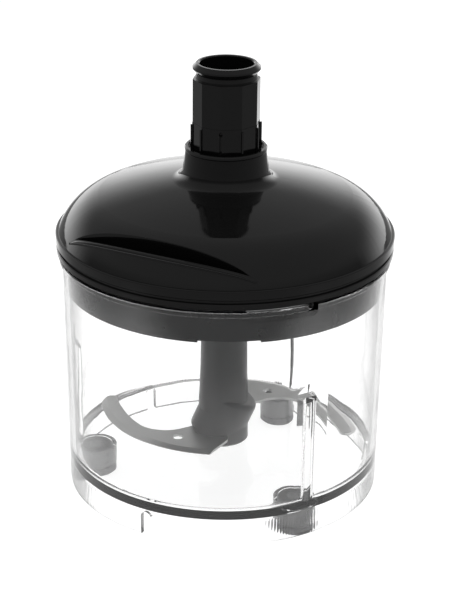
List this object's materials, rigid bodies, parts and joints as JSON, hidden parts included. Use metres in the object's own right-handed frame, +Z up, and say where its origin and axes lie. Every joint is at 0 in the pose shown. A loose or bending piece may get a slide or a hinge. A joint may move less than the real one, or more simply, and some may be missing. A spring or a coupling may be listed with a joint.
{
  "type": "geared chopper attachment",
  "caption": "Clear chopping bowl on rubber feet with a sickle-blade rotor and a domed lid whose planetary gearbox takes a hand blender's drive.",
  "frame": {"origin": "on the worktop under the centre of the bowl, on the axis of the blade and the neck", "axes": "+Z up along the blade's axis; -Y is the front, where a grip pocket of the lid and a rubber foot face the viewer"},
  "size_m": [0.1524, 0.1524, 0.2],
  "materials": {
    "clear_plastic": "clear moulded SAN, polished",
    "cover_plastic": "high gloss moulded",
    "plate_plastic": "fine moulded",
    "hub_plastic": "fine moulded",
    "case_plastic": "moulded, glass filled",
    "gear_plastic": "moulded acetal",
    "foot_rubber": "soft rubber",
    "seal_rubber": "silicone",
    "blade_steel": "fine ground",
    "shaft_steel": "turned",
    "bush_bronze": "sintered",
    "screw_steel": "bright zinc"
  },
  "bodies": {
    "bowl": {"bowl": "clear_plastic", "foot_front": "foot_rubber", "foot_back": "foot_rubber", "foot_left": "foot_rubber", "pivot_pin": "shaft_steel"},
    "lid_seal": {"lid_seal": "seal_rubber"},
    "lid": {"lid_cover": "cover_plastic", "drive_neck": "cover_plastic", "lid_plate": "plate_plastic", "case_screws": "screw_steel", "gear_case": "case_plastic", "ring_gear": "gear_plastic", "lower_input_bush": "bush_bronze", "upper_input_bush": "bush_bronze", "input_seal": "seal_rubber", "output_seal": "seal_rubber", "output_bush": "bush_bronze"},
    "blade": {"blade_hub": "hub_plastic", "lower_blade": "blade_steel", "upper_blade": "blade_steel", "hub_bush": "bush_bronze"},
    "carrier": {"planet_carrier": "case_plastic", "carrier_cap": "case_plastic", "planet_pin_1": "shaft_steel", "planet_pin_2": "shaft_steel", "planet_pin_3": "shaft_steel"},
    "input": {"input_shaft": "shaft_steel", "sun_gear": "gear_plastic", "drive_coupling": "case_plastic", "thrust_washer": "shaft_steel", "shaft_clip": "shaft_steel"},
    "planet_1": {"planet_gear_1": "gear_plastic"},
    "planet_2": {"planet_gear_2": "gear_plastic"},
    "planet_3": {"planet_gear_3": "gear_plastic"}
  },
  "joints": [
    {"name": "lid_lift", "type": "slide", "parent": "bowl", "child": "lid_seal", "axis": [0, 0, 1], "range_m": [0, 0.15]},
    {"name": "lid_turn", "type": "hinge", "parent": "lid_seal", "child": "lid", "pos_m": [0, 0, 0.115], "axis": [0, 0, -1], "range_deg": [0, 20]},
    {"name": "blade_spin", "type": "hinge", "parent": "bowl", "child": "blade", "pos_m": [0, 0, 0.03], "axis": [0, 0, 1], "continuous": true},
    {"name": "carrier_spin", "type": "hinge", "parent": "lid", "child": "carrier", "pos_m": [0, 0, 0.115], "axis": [0, 0, 1], "continuous": true},
    {"name": "input_spin", "type": "hinge", "parent": "lid", "child": "input", "pos_m": [0, 0, 0.15], "axis": [0, 0, 1], "continuous": true},
    {"name": "planet_1_spin", "type": "hinge", "parent": "carrier", "child": "planet_1", "pos_m": [0.018, 0, 0.1236], "axis": [0, 0, 1], "continuous": true},
    {"name": "planet_2_spin", "type": "hinge", "parent": "carrier", "child": "planet_2", "pos_m": [-0.009, 0.01559, 0.1236], "axis": [0, 0, 1], "continuous": true},
    {"name": "planet_3_spin", "type": "hinge", "parent": "carrier", "child": "planet_3", "pos_m": [-0.009, -0.01559, 0.1236], "axis": [0, 0, 1], "continuous": true}
  ],
  "couplings": [
    {"joint": "carrier_spin", "follows": "blade_spin", "ratio": 1},
    {"joint": "input_spin", "follows": "blade_spin", "ratio": 4},
    {"joint": "planet_1_spin", "follows": "blade_spin", "ratio": -3},
    {"joint": "planet_2_spin", "follows": "blade_spin", "ratio": -3},
    {"joint": "planet_3_spin", "follows": "blade_spin", "ratio": -3}
  ]
}
